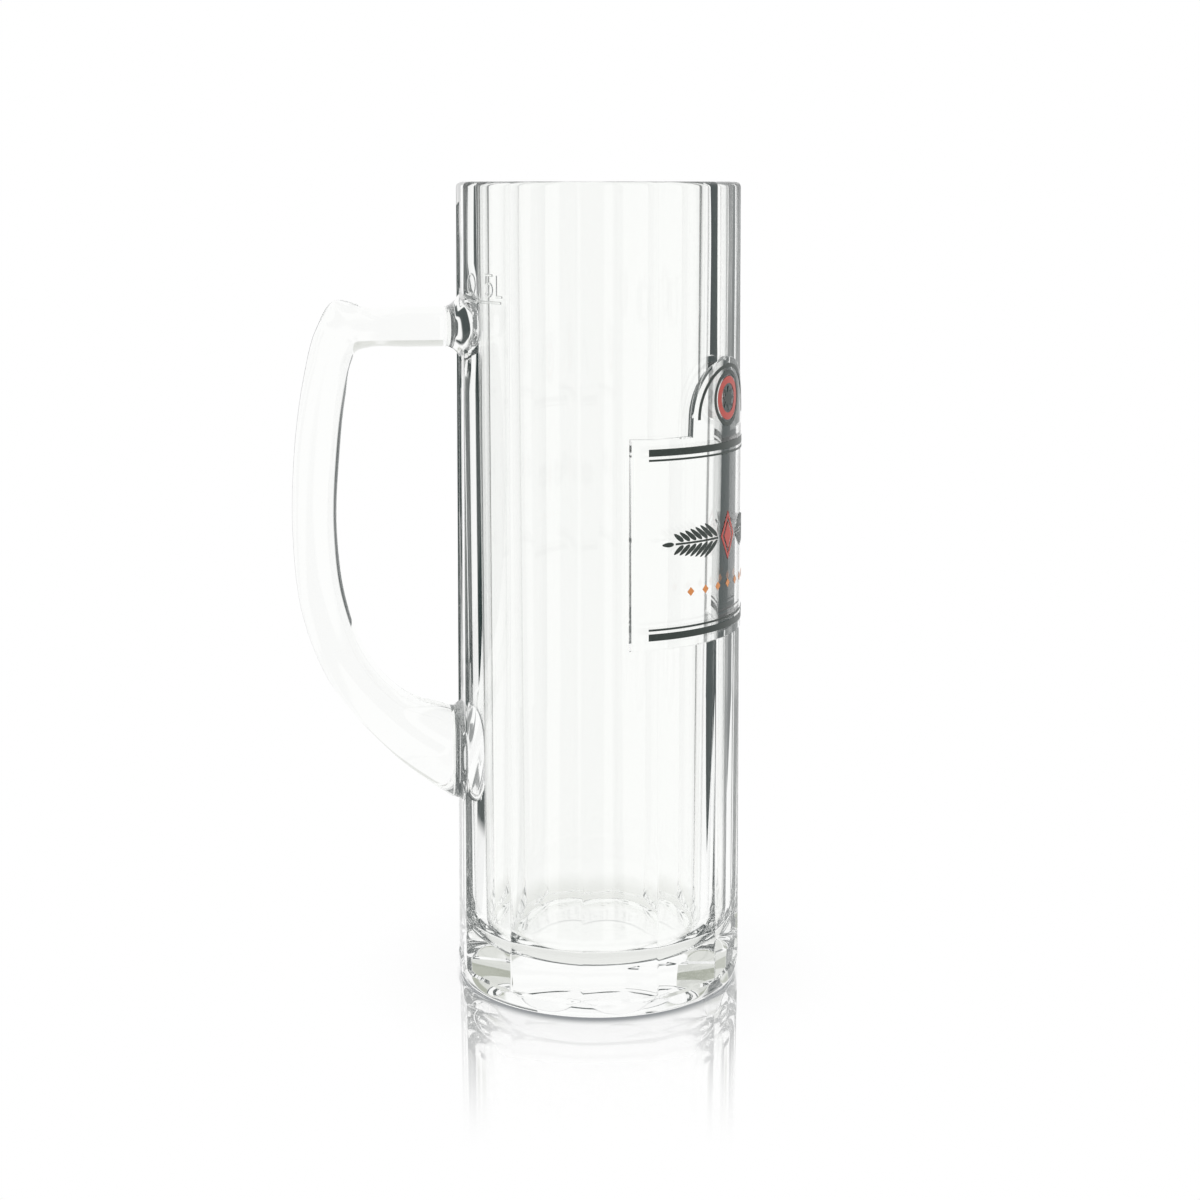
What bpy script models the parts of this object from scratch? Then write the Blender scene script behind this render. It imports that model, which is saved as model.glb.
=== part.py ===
"""Half-litre beer mug of pressed glass with twelve panels, a side handle and a printed label field.

Metres, +Z up. The origin is the centre of the underside, the handle points along -X.
"""
import math

import bmesh
import bpy
import numpy as np

# Vessel: corner radii are across the panel corners, walls are taken at the middle of a panel
HEIGHT = 0.204
PANELS = 12
RIM_CORNER_RADIUS = 0.0353
FOOT_CORNER_RADIUS = 0.0370
HEEL_INSET = 0.0016
HEEL_HEIGHT = 0.0065
LIP_HEIGHT = 0.0012
RIM_WALL = 0.0022
FLOOR_WALL = 0.0051
FLOOR_THICKNESS = 0.0102
FLOOR_FILLET = 0.0100

# Handle and the two bosses that carry it
RIM_TO_ARM = 0.0350
ARM_DEPTH = 0.0098
HUMP_DEPTH = 0.0133
SHOULDER_DEPTH = 0.0120
GRIP_DEPTH = 0.0112
LOWER_ARM_DEPTH = 0.0145
ROOT_HEIGHT = 0.0607
ROOT_DEPTH = 0.0233
HANDLE_REACH = 0.0330
HANDLE_WIDTH = 0.0165
ARM_BOSS_LENGTH = 0.0036
ARM_BOSS_SIDE_FLARE = 0.0042
ARM_BOSS_END_FLARE = 0.0027
ROOT_BOSS_LENGTH = 0.0026
ROOT_BOSS_SIDE_FLARE = 0.0022
ROOT_BOSS_END_FLARE = 0.0013
BOSS_SEAT = 0.0008
SEAT_GAP = 0.0003

# Label field, raised just clear of the panel corners, with an arch on its upper edge
FIELD_AZIMUTH = math.radians(-37.0)
FIELD_WIDTH = 0.0628
FIELD_BOTTOM = 0.0931
FIELD_HEIGHT = 0.0511
FIELD_RELIEF = 0.0003
FIELD_SEAT = 0.0006
ARCH_RADIUS = 0.0145
ARCH_RISE = 0.0038
ARCH_FOOT_DRAFT = 0.0002

# Printed enamel on the field
PRINT_GAP = 0.00012
PRINT_THICKNESS = 0.00018
PRINT_MARGIN = 0.0046
WIDE_RULE = 0.0017
FINE_RULE = 0.0005
RULE_GAP = 0.0007
RULE_INSET = 0.0024
ARCH_RULE = 0.0009
ARCH_RULE_INSET = 0.0017
MEDALLION_RADIUS = 0.0068
MEDALLION_RING = 0.0010
MEDALLION_GAP = 0.0005
STAR_RADIUS = 0.0031
STAR_POINTS = 8
STAR_WAIST = 0.5
EAR_LENGTH = 0.0180
EAR_WIDTH = 0.0100
EAR_GRAINS = 7
EAR_NOTCH = 0.5
EAR_TIP = 0.08
EAR_FULLNESS = 0.8
EAR_GAP = 0.0050
LOZENGE_WIDTH = 0.0072
LOZENGE_HEIGHT = 0.0120
BEAD_COUNT = 7
BEAD_SIZE = 0.0022
BEAD_PITCH = 0.0050
BEAD_DROP = 0.0120
POINT_BLUNTING = 0.0001

# Fill mark on the panel beside the handle
RIM_TO_FILL = 0.0283
FILL_LINE_LENGTH = 0.0125
FILL_LINE_WIDTH = 0.0006
FIGURE_HEIGHT = 0.0050
FIGURE_WIDTH = 0.0029
FIGURE_STROKE = 0.0006
FIGURE_GAP = 0.0009
FIGURE_LIFT = 0.0014
MARK_GAP = 0.0001
MARK_THICKNESS = 0.0002

# Facets
AROUND = 6 * PANELS
HEEL_STEPS = 6
LIP_STEPS = 6
FILLET_STEPS = 6
SECTION_POINTS = 20
SECTION_POWER = 2.6
HANDLE_STATIONS = 38
ARCH_STEPS = 14
RING_STEPS = 24
FIELD_STEP = 0.0023
BOSS_STEPS = (0.12, 0.3, 0.55, 0.8, 1.0)
SHARP_ANGLE = math.radians(28)

PANEL_ANGLE = 2 * math.pi / PANELS
HANDLE_AZIMUTH = math.pi
ARM_HEIGHT = HEIGHT - RIM_TO_ARM
FILL_HEIGHT = HEIGHT - RIM_TO_FILL
FLOOR_LINE = FLOOR_THICKNESS + FLOOR_FILLET
FIELD_TOP = FIELD_BOTTOM + FIELD_HEIGHT
FIELD_MIDDLE = FIELD_BOTTOM + FIELD_HEIGHT / 2
ARCH_HEIGHT = FIELD_TOP + ARCH_RISE


def corner_radius(z):
    """Radius across the panel corners, widening slightly towards the foot."""
    return FOOT_CORNER_RADIUS + (RIM_CORNER_RADIUS - FOOT_CORNER_RADIUS) * z / HEIGHT


def apothem(z):
    """Distance from the axis to the middle of a panel."""
    return corner_radius(z) * math.cos(PANEL_ANGLE / 2)


def panel_radius(azimuth, z):
    """Distance from the axis to the panelled outside; a panel faces the handle."""
    turn = (azimuth - HANDLE_AZIMUTH + PANEL_ANGLE / 2) % PANEL_ANGLE - PANEL_ANGLE / 2
    return apothem(z) / math.cos(turn)


def heel_radius(z):
    """Turned rounding of the foot that trims the panel corners into scallops."""
    drop = 1 - min(z, HEEL_HEIGHT) / HEEL_HEIGHT
    bulge = math.sqrt(1 - drop * drop)
    return corner_radius(z) - HEEL_INSET * (1 - bulge)


def bore_radius(z):
    """Drafted round inside, above the floor fillet."""
    lowest = apothem(FLOOR_LINE) - FLOOR_WALL
    highest = apothem(HEIGHT) - RIM_WALL
    return lowest + (highest - lowest) * (z - FLOOR_LINE) / (HEIGHT - FLOOR_LINE)


def finish(name, colour, roughness, transmission=0.0):
    material = bpy.data.materials.new(name)
    material.use_nodes = True
    shader = material.node_tree.nodes["Principled BSDF"]
    shader.inputs["Base Color"].default_value = (*colour, 1.0)
    shader.inputs["Roughness"].default_value = roughness
    shader.inputs["Metallic"].default_value = 0.0
    shader.inputs["Transmission Weight"].default_value = transmission
    return material


def place(name, bm, material, smooth=False):
    """Turn a bmesh into a named object with outward faces."""
    bmesh.ops.recalc_face_normals(bm, faces=bm.faces)
    mesh = bpy.data.meshes.new(name)
    bm.to_mesh(mesh)
    bm.free()
    if smooth:
        mesh.shade_smooth()
        mesh.set_sharp_from_angle(angle=SHARP_ANGLE)
    piece = bpy.data.objects.new(name, mesh)
    bpy.context.collection.objects.link(piece)
    mesh.materials.append(material)
    return piece


def loft(rings, closed=False):
    """Closed skin over rings of equal size; the ends are capped unless the rings form a loop."""
    bm = bmesh.new()
    loops = [[bm.verts.new(point) for point in ring] for ring in rings]
    size = len(loops[0])
    pairs = list(zip(loops, loops[1:]))
    if closed:
        pairs.append((loops[-1], loops[0]))
    for lower, upper in pairs:
        for i in range(size):
            j = (i + 1) % size
            bm.faces.new((lower[i], lower[j], upper[j], upper[i]))
    if not closed:
        bm.faces.new(loops[0])
        bm.faces.new(loops[-1])
    return bm


def join(target, cutter):
    """Fuse a helper solid into the target and hide the helper."""
    fuse = target.modifiers.new("fuse_" + cutter.name, "BOOLEAN")
    fuse.operation = "UNION"
    fuse.solver = "EXACT"
    fuse.object = cutter
    cutter.hide_render = True
    cutter.display_type = "WIRE"


def ring_at(radius_of, z):
    """One turn of points at height z, with a radius for each azimuth."""
    turn = [2 * math.pi * i / AROUND for i in range(AROUND)]
    return [(radius_of(a) * math.cos(a), radius_of(a) * math.sin(a), z) for a in turn]


def outer_rings():
    shares = [(i / HEEL_STEPS) ** 2 for i in range(HEEL_STEPS + 1)]
    heights = [HEEL_HEIGHT * share for share in shares] + [HEIGHT - LIP_HEIGHT]
    return [ring_at(lambda a, z=z: min(panel_radius(a, z), heel_radius(z)), z) for z in heights]


def lip_rings():
    """Fire-polished edge from the outside over to the bore."""
    rings = []
    for i in range(1, LIP_STEPS):
        angle = math.pi * i / LIP_STEPS
        z = HEIGHT - LIP_HEIGHT * (1 - math.sin(angle))

        def radius(a, z=z, angle=angle):
            outside = panel_radius(a, z)
            inside = bore_radius(HEIGHT - LIP_HEIGHT)
            return (outside + inside) / 2 + (outside - inside) / 2 * math.cos(angle)

        rings.append(ring_at(radius, z))
    return rings


def bore_rings():
    """The inside, from the lip down the wall and round the fillet to the flat floor."""
    rings = [ring_at(lambda a: bore_radius(HEIGHT - LIP_HEIGHT), HEIGHT - LIP_HEIGHT)]
    for i in range(FILLET_STEPS + 1):
        angle = math.pi / 2 * i / FILLET_STEPS
        z = FLOOR_LINE - FLOOR_FILLET * math.sin(angle)
        radius = bore_radius(FLOOR_LINE) - FLOOR_FILLET * (1 - math.cos(angle))
        rings.append(ring_at(lambda a, radius=radius: radius, z))
    return rings


def section(width, depth):
    """Rounded handle section: (sideways, along the depth) pairs."""
    points = []
    for i in range(SECTION_POINTS):
        angle = 2 * math.pi * i / SECTION_POINTS
        across, along = math.cos(angle), math.sin(angle)
        power = 2 / SECTION_POWER
        points.append((width / 2 * math.copysign(abs(across) ** power, across),
                       depth / 2 * math.copysign(abs(along) ** power, along)))
    return points


def arm_seat():
    return apothem(ARM_HEIGHT) + ARM_BOSS_LENGTH


def root_seat():
    return apothem(ROOT_HEIGHT) + ROOT_BOSS_LENGTH


def wall_face(side, z):
    """How far out the panels stand at a sideways distance from the handle's middle plane."""
    half_panel = corner_radius(z) * math.sin(PANEL_ANGLE / 2)
    return apothem(z) - max(0.0, abs(side) - half_panel) * math.tan(PANEL_ANGLE)


def boss(name, height, length, depth, side_flare, end_flare, material):
    """Flared pad on the wall, narrowing in a hollow curve to the handle's end section."""
    rings = []
    for share in (-BOSS_SEAT / length, *BOSS_STEPS):
        spread = (1 - share) ** 2
        ring = []
        width = HANDLE_WIDTH + 2 * side_flare * spread
        for side, up in section(width, depth + 2 * end_flare * spread):
            foot = wall_face(side, height + up)
            out = foot + (apothem(height) + length - foot) * share
            ring.append((-out, side, height + up))
        rings.append(ring)
    return place(name, loft(rings), material)


def handle_path():
    """Stations along the handle: share of the reach, share of the drop, section tilt, depth."""
    return np.array([
        (0.000, 0.000, 90, ARM_DEPTH),
        (0.300, 0.000, 90, ARM_DEPTH),
        (0.575, 0.000, 85, ARM_DEPTH),
        (0.738, -0.002, 69, HUMP_DEPTH),
        (0.826, 0.042, 49, SHOULDER_DEPTH),
        (0.898, 0.131, 27, GRIP_DEPTH),
        (0.971, 0.291, 5, GRIP_DEPTH),
        (1.000, 0.471, -10, GRIP_DEPTH),
        (0.942, 0.642, -25, SHOULDER_DEPTH),
        (0.780, 0.785, -39, SHOULDER_DEPTH),
        (0.414, 0.918, -62, LOWER_ARM_DEPTH),
        (0.000, 1.000, -90, ROOT_DEPTH),
    ])


def smooth_rows(rows, count):
    """Cubic curve through rows of values, read at equal steps of travelled length."""
    places = rows[:, :2] * (HANDLE_REACH, ARM_HEIGHT - ROOT_HEIGHT)
    travel = np.concatenate(([0.0], np.cumsum(np.linalg.norm(np.diff(places, axis=0), axis=1))))
    slopes = np.gradient(rows, travel, axis=0)
    result = []
    for t in np.linspace(0.0, travel[-1], count):
        i = min(np.searchsorted(travel, t, side="right") - 1, len(travel) - 2)
        span = travel[i + 1] - travel[i]
        u = (t - travel[i]) / span
        start, end = 2 * u**3 - 3 * u**2 + 1, -2 * u**3 + 3 * u**2
        leave, arrive = u**3 - 2 * u**2 + u, u**3 - u**2
        result.append(start * rows[i] + end * rows[i + 1]
                      + span * (leave * slopes[i] + arrive * slopes[i + 1]))
    return result


def make_handle(material):
    rows = smooth_rows(handle_path(), HANDLE_STATIONS)
    rings = []
    for k, (reach, drop, tilt, depth) in enumerate(rows):
        along = k / (HANDLE_STATIONS - 1)
        seat = (1 - along) * arm_seat() + along * root_seat() + SEAT_GAP
        out = seat + HANDLE_REACH * reach
        z = ARM_HEIGHT + (ROOT_HEIGHT - ARM_HEIGHT) * drop
        angle = math.radians(tilt)
        rings.append([(-(out + up * math.cos(angle)), side, z + up * math.sin(angle))
                      for side, up in section(HANDLE_WIDTH, depth)])
    return place("handle", loft(rings), material, smooth=True)


def field_radius(z):
    return corner_radius(z) + FIELD_RELIEF


def wrap(along, z, lift):
    """Point on the label field: arc length from its middle, height and lift off the field."""
    azimuth = FIELD_AZIMUTH + along / field_radius(FIELD_MIDDLE)
    radius = field_radius(z) + lift
    return (radius * math.cos(azimuth), radius * math.sin(azimuth), z)


def columns(start, end):
    """Arc lengths from start to end, close enough to follow the round field."""
    count = max(2, math.ceil((end - start) / FIELD_STEP) + 1)
    return [start + (end - start) * i / (count - 1) for i in range(count)]


def curved_strip(name, outline, inner, outer, material):
    """Solid on the field between two lifts; outline rows are (arc length, lower, upper)."""
    rings = [[wrap(along, low, inner), wrap(along, low, outer), wrap(along, high, outer),
              wrap(along, high, inner)] for along, low, high in outline]
    return place(name, loft(rings), material)


def field_outline():
    """Rectangle with a round arch standing on its middle."""
    left = columns(-FIELD_WIDTH / 2, -ARCH_RADIUS - ARCH_FOOT_DRAFT)
    outline = [(along, FIELD_BOTTOM, FIELD_TOP) for along in left]
    for i in range(ARCH_STEPS + 1):
        angle = math.pi * (1 - i / ARCH_STEPS)
        along = ARCH_RADIUS * math.cos(angle)
        outline.append((along, FIELD_BOTTOM, ARCH_HEIGHT + ARCH_RADIUS * math.sin(angle)))
    outline += [(-along, FIELD_BOTTOM, FIELD_TOP) for along in reversed(left)]
    return outline


def make_vessel(material):
    vessel = place("vessel", loft(outer_rings() + lip_rings() + bore_rings()), material, smooth=True)
    field_depth = field_radius(FIELD_MIDDLE) - apothem(FIELD_MIDDLE) + FIELD_SEAT
    helpers = (
        boss("arm_boss", ARM_HEIGHT, ARM_BOSS_LENGTH, ARM_DEPTH,
             ARM_BOSS_SIDE_FLARE, ARM_BOSS_END_FLARE, material),
        boss("root_boss", ROOT_HEIGHT, ROOT_BOSS_LENGTH, ROOT_DEPTH,
             ROOT_BOSS_SIDE_FLARE, ROOT_BOSS_END_FLARE, material),
        curved_strip("field", field_outline(), -field_depth, 0.0, material),
    )
    for helper in helpers:
        join(vessel, helper)
    return vessel


def printed(name, outline, material):
    return curved_strip(name, outline, PRINT_GAP, PRINT_GAP + PRINT_THICKNESS, material)


def ring_print(name, z, radius, width, sweep, material):
    """Round band about the field's middle line, swept from its right side, whole or in part."""
    whole = sweep == 2 * math.pi
    steps = round(RING_STEPS * sweep / (2 * math.pi))
    rings = []
    for i in range(steps if whole else steps + 1):
        angle = sweep * i / steps
        ring = []
        for reach, lift in ((radius - width, PRINT_GAP), (radius, PRINT_GAP),
                            (radius, PRINT_GAP + PRINT_THICKNESS),
                            (radius - width, PRINT_GAP + PRINT_THICKNESS)):
            ring.append(wrap(reach * math.cos(angle), z + reach * math.sin(angle), lift))
        rings.append(ring)
    return place(name, loft(rings, closed=whole), material)


def make_rules(material):
    """A wide and a fine rule along the upper and the lower edge of the field."""
    half = FIELD_WIDTH / 2 - PRINT_MARGIN
    run = columns(-half, half)
    wide_top = FIELD_TOP - RULE_INSET
    fine_top = wide_top - WIDE_RULE - RULE_GAP
    wide_bottom = FIELD_BOTTOM + RULE_INSET
    fine_bottom = wide_bottom + WIDE_RULE + RULE_GAP
    bands = (
        ("upper_wide_rule", wide_top - WIDE_RULE, wide_top),
        ("upper_fine_rule", fine_top - FINE_RULE, fine_top),
        ("lower_fine_rule", fine_bottom, fine_bottom + FINE_RULE),
        ("lower_wide_rule", wide_bottom, wide_bottom + WIDE_RULE),
    )
    for name, low, high in bands:
        printed(name, [(along, low, high) for along in run], material)


def make_star(z, material):
    """Pointed star, fanned out from its middle."""
    star = bmesh.new()
    layers = []
    for lift in (PRINT_GAP, PRINT_GAP + PRINT_THICKNESS):
        hub = star.verts.new(wrap(0.0, z, lift))
        rim = []
        for i in range(2 * STAR_POINTS):
            angle = math.pi * i / STAR_POINTS
            reach = STAR_RADIUS * (STAR_WAIST if i % 2 else 1.0)
            rim.append(star.verts.new(wrap(reach * math.cos(angle), z + reach * math.sin(angle), lift)))
        layers.append((hub, rim))
    (under_hub, under), (over_hub, over) = layers
    for i in range(2 * STAR_POINTS):
        j = (i + 1) % (2 * STAR_POINTS)
        star.faces.new((under[i], under[j], over[j], over[i]))
        star.faces.new((under_hub, under[j], under[i]))
        star.faces.new((over_hub, over[i], over[j]))
    place("medallion_star", star, material)


def make_medallion(dark, red):
    """Star in a red band and a fine ring, under the rule that follows the arch."""
    arch = ARCH_RADIUS - ARCH_RULE_INSET
    ring_print("arch_rule", ARCH_HEIGHT, arch, ARCH_RULE, math.pi, dark)
    z = ARCH_HEIGHT + arch - ARCH_RULE - RULE_GAP - MEDALLION_RADIUS
    ring_print("medallion_ring", z, MEDALLION_RADIUS, MEDALLION_RING, 2 * math.pi, dark)
    band = MEDALLION_RADIUS - MEDALLION_RING - MEDALLION_GAP
    ring_print("medallion_band", z, band, band - STAR_RADIUS - MEDALLION_GAP, 2 * math.pi, red)
    make_star(z, dark)


def make_ears(material):
    """Two ears of grain lying out from the middle; each grain is a tooth of the outline."""
    steps = 4 * EAR_GRAINS
    for name, side in (("left_ear", -1), ("right_ear", 1)):
        outline = []
        for i in range(steps + 1):
            share = i / steps
            spindle = math.sin(math.pi * (EAR_TIP + (1 - 2 * EAR_TIP) * share)) ** EAR_FULLNESS
            tooth = 1.0 - EAR_NOTCH * (share * EAR_GRAINS % 1.0)
            half = EAR_WIDTH / 2 * spindle * tooth
            along = side * (EAR_GAP + EAR_LENGTH * share)
            outline.append((along, FIELD_MIDDLE - half, FIELD_MIDDLE + half))
        printed(name, outline, material)


def lozenge(name, along, z, width, height, material):
    """Upright diamond with slightly blunted side points."""
    outline = []
    for share in (-1.0, -0.5, 0.0, 0.5, 1.0):
        rise = POINT_BLUNTING + height / 2 * (1 - abs(share))
        outline.append((along + share * width / 2, z - rise, z + rise))
    return printed(name, outline, material)


def make_beads(material):
    for i in range(BEAD_COUNT):
        along = (i - (BEAD_COUNT - 1) / 2) * BEAD_PITCH
        lozenge(f"bead_{i + 1}", along, FIELD_MIDDLE - BEAD_DROP, BEAD_SIZE, BEAD_SIZE, material)


def on_mark_panel(side, z, lift):
    """Point on the flat panel that carries the fill mark, seen from outside."""
    azimuth = HANDLE_AZIMUTH + PANEL_ANGLE
    out = apothem(z) + lift
    return (out * math.cos(azimuth) - side * math.sin(azimuth),
            out * math.sin(azimuth) + side * math.cos(azimuth), z)


def stroke(name, path, width, material, closed=False):
    """Flat stroke of even width on the mark panel, mitred at its bends."""
    path = np.array(path)
    count = len(path)
    rings = []
    for i in range(count):
        before = path[i - 1] if i or closed else path[i] - (path[1] - path[0])
        after = path[(i + 1) % count] if i < count - 1 or closed else path[i] + (path[i] - path[i - 1])
        arrive = (path[i] - before) / np.linalg.norm(path[i] - before)
        leave = (after - path[i]) / np.linalg.norm(after - path[i])
        normal = np.array([-arrive[1] - leave[1], arrive[0] + leave[0]])
        normal /= np.linalg.norm(normal)
        reach = normal * width / 2 / max(0.5, normal @ np.array([-arrive[1], arrive[0]]))
        ring = []
        for point, lift in ((path[i] - reach, MARK_GAP), (path[i] + reach, MARK_GAP),
                            (path[i] + reach, MARK_GAP + MARK_THICKNESS),
                            (path[i] - reach, MARK_GAP + MARK_THICKNESS)):
            ring.append(on_mark_panel(*point, lift))
        rings.append(ring)
    return place(name, loft(rings, closed=closed), material)


def make_fill_mark(material):
    """Capacity line with the half-litre figures above it."""
    half = FILL_LINE_LENGTH / 2
    stroke("fill_line", [(-half, FILL_HEIGHT), (half, FILL_HEIGHT)], FILL_LINE_WIDTH, material)
    wide, tall = FIGURE_WIDTH / 2, FIGURE_HEIGHT / 2
    turn = [2 * math.pi * i / 16 for i in range(16)]
    zero = [(wide * math.cos(a), tall + tall * math.sin(a)) for a in turn]
    comma = [(0.0, 0.25 * tall), (-0.2 * wide, -0.25 * tall)]
    bowl = 0.62 * tall
    bend = [math.radians(angle) for angle in range(110, -151, -26)]
    five = [(wide, 2 * tall), (-0.8 * wide, 2 * tall), (-0.9 * wide, 1.75 * bowl)]
    five += [(wide * math.cos(a), bowl + bowl * math.sin(a)) for a in bend]
    ell = [(-0.8 * wide, 2 * tall), (-0.8 * wide, 0.0), (0.8 * wide, 0.0)]
    pitch = FIGURE_WIDTH + FIGURE_GAP
    base = FILL_HEIGHT + FIGURE_LIFT
    glyphs = (("figure_zero", -1.5, zero), ("figure_comma", -0.55, comma),
              ("figure_five", 0.35, five), ("letter_l", 1.45, ell))
    for name, slot, path in glyphs:
        moved = [(side + slot * pitch, base + up) for side, up in path]
        stroke(name, moved, FIGURE_STROKE, material, closed=name == "figure_zero")


def main():
    for old in list(bpy.data.objects):
        bpy.data.objects.remove(old)
    clear = (0.93, 0.96, 0.94)
    make_vessel(finish("vessel_glass", clear, 0.02, 0.95))
    make_handle(finish("handle_glass", clear, 0.02, 0.95))
    dark = finish("print_dark_green", (0.012, 0.022, 0.017), 0.35)
    red = finish("print_red", (0.42, 0.035, 0.022), 0.35)
    amber = finish("print_amber", (0.62, 0.22, 0.05), 0.35)
    make_rules(dark)
    make_medallion(dark, red)
    make_ears(dark)
    lozenge("centre_lozenge", 0.0, FIELD_MIDDLE, LOZENGE_WIDTH, LOZENGE_HEIGHT, red)
    make_beads(amber)
    make_fill_mark(finish("fill_mark_frost", (0.75, 0.78, 0.77), 0.5))


main()
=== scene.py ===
"""Looks of the panelled half-litre beer mug: clear glass, enamel print and a white studio."""
import collections
import math

import bmesh
import bpy
import numpy as np
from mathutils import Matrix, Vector


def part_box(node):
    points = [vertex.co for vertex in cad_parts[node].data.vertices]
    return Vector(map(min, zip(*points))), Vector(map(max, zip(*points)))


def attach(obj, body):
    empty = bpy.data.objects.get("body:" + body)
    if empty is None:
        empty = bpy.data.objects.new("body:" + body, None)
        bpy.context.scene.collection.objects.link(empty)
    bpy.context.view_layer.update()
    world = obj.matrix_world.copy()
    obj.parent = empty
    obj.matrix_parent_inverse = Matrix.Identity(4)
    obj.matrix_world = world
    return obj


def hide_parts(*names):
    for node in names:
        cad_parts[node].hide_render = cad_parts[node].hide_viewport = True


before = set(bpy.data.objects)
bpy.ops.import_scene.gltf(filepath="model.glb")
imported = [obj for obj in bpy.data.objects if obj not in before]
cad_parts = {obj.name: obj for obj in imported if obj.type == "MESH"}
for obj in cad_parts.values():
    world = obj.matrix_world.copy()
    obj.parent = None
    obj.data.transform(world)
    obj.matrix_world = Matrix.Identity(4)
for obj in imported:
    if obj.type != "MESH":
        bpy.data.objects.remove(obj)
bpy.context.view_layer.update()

# Vessel, in metres, as in the part
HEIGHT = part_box("vessel")[1][2]
PANELS = 12
RIM_CORNER_RADIUS = 0.0353
FOOT_CORNER_RADIUS = 0.0370
HEEL_INSET = 0.0016
HEEL_HEIGHT = 0.0065
BEAD_HEIGHT = 0.0047
BEAD_STEP = 0.0005
BEAD_RAMP = 0.0007
LIP_HEIGHT = 0.0012
RIM_WALL = 0.0022
FLOOR_WALL = 0.0051
FLOOR_THICKNESS = 0.0102
FLOOR_FILLET = 0.0100
UNDERSIDE_RING = 0.0030
UNDERSIDE_RISE = 0.0009

# Handle and its bosses
RIM_TO_ARM = 0.0350
ARM_DEPTH = 0.0098
HUMP_DEPTH = 0.0133
SHOULDER_DEPTH = 0.0120
GRIP_DEPTH = 0.0112
LOWER_ARM_DEPTH = 0.0145
ROOT_HEIGHT = 0.0607
ROOT_DEPTH = 0.0233
HANDLE_REACH = 0.0330
HANDLE_WIDTH = 0.0165
ARM_BOSS_LENGTH = 0.0036
ARM_BOSS_SIDE_FLARE = 0.0042
ARM_BOSS_END_FLARE = 0.0027
ROOT_BOSS_LENGTH = 0.0026
ROOT_BOSS_SIDE_FLARE = 0.0022
ROOT_BOSS_END_FLARE = 0.0013
BOSS_SEAT = 0.0008
CAD_SEAT_GAP = 0.0003
SEAT_GAP = 0.00003

# Label field
FIELD_AZIMUTH = math.radians(-37.0)
FIELD_WIDTH = 0.0628
FIELD_BOTTOM = 0.0931
FIELD_HEIGHT = 0.0511
FIELD_RELIEF = 0.0003
FIELD_SEAT = 0.0006
FIELD_EDGE = 0.0003
ARCH_RADIUS = 0.0145
ARCH_RISE = 0.0038
ARCH_FOOT_DRAFT = 0.0002

# Enamel print
PRINT_GAP = 0.00004
PRINT_THICKNESS = 0.00006
PRINT_MARGIN = 0.0046
WIDE_RULE = 0.0017
FINE_RULE = 0.0005
RULE_GAP = 0.0007
RULE_INSET = 0.0024
ARCH_RULE = 0.0009
ARCH_RULE_INSET = 0.0017
MEDALLION_RADIUS = 0.0068
MEDALLION_RING = 0.0010
MEDALLION_GAP = 0.0005
STAR_RADIUS = 0.0031
STAR_POINTS = 8
STAR_WAIST = 0.5
EAR_LENGTH = 0.0180
EAR_PAIRS = 7
EAR_GAP = 0.0050
GRAIN_LENGTH = 0.0062
GRAIN_WIDTH = 0.0014
GRAIN_TILT = math.radians(36)
GRAIN_FULLNESS = 0.8
GRAIN_TAPER = 0.2
GRAIN_SHRINK = 0.45
GRAIN_SHIFT = 0.15
TIP_GRAIN = 1.6
STEM_WIDTH = 0.0005
STEM_OVERHANG = 0.3
LOZENGE_WIDTH = 0.0072
LOZENGE_HEIGHT = 0.0120
LOZENGE_LINE = 0.22
BEAD_COUNT = 7
BEAD_SIZE = 0.0022
BEAD_PITCH = 0.0050
BEAD_DROP = 0.0120

# Fill mark
RIM_TO_FILL = 0.0283
FILL_LINE_LENGTH = 0.0125
FILL_LINE_WIDTH = 0.0006
FIGURE_HEIGHT = 0.0050
FIGURE_WIDTH = 0.0029
FIGURE_STROKE = 0.0006
FIGURE_GAP = 0.0009
FIGURE_LIFT = 0.0014
MARK_GAP = 0.00003
MARK_RELIEF = 0.00025

# Figures of the fill mark in half widths and half heights, and their places in pitches
COMMA = ((0.0, 0.25), (-0.2, -0.25))
FIVE_TOP = ((1.0, 2.0), (-0.8, 2.0), (-0.9, 1.085))
FIVE_BOWL = 0.62
FIVE_BEND = range(110, -151, -10)
ELL = ((-0.8, 2.0), (-0.8, 0.0), (0.8, 0.0))
FIGURE_PLACES = (-1.5, -0.55, 0.35, 1.45)

# Fineness of the meshes
AROUND = 720
HEEL_ROWS = 16
HEEL_CROWDING = 1.5
BEAD_ROWS = 4
WALL_ROWS = 16
LIP_ROWS = 12
BORE_ROWS = 10
FILLET_ROWS = 20
DISH_ROWS = 12
SECTION_POINTS = 64
SECTION_POWER = 2.6
BOSS_ROWS = 10
HANDLE_STATIONS = 150
ARCH_STEPS = 64
RING_STEPS = 96
GRAIN_STEPS = 24
DIAMOND_STEPS = 8
RIB_STEPS = 8
ZERO_STEPS = 40
MITRE_LIMIT = 0.5
FIELD_STEP = 0.0006
SHARP_ANGLE = math.radians(35)
UPRIGHT = 0.999
WELD = 0.0000001

# Camera, read from the photograph's perspective
LENS = 63.243
SENSOR = 36.0
CAMERA_AZIMUTH = math.radians(-9.0)
CAMERA_DISTANCE = 0.5295
CAMERA_HEIGHT = 0.204
CAMERA_PITCH = math.radians(11.23)
CAMERA_SIDESTEP = 0.00063
CLIP_START = 0.01

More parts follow.
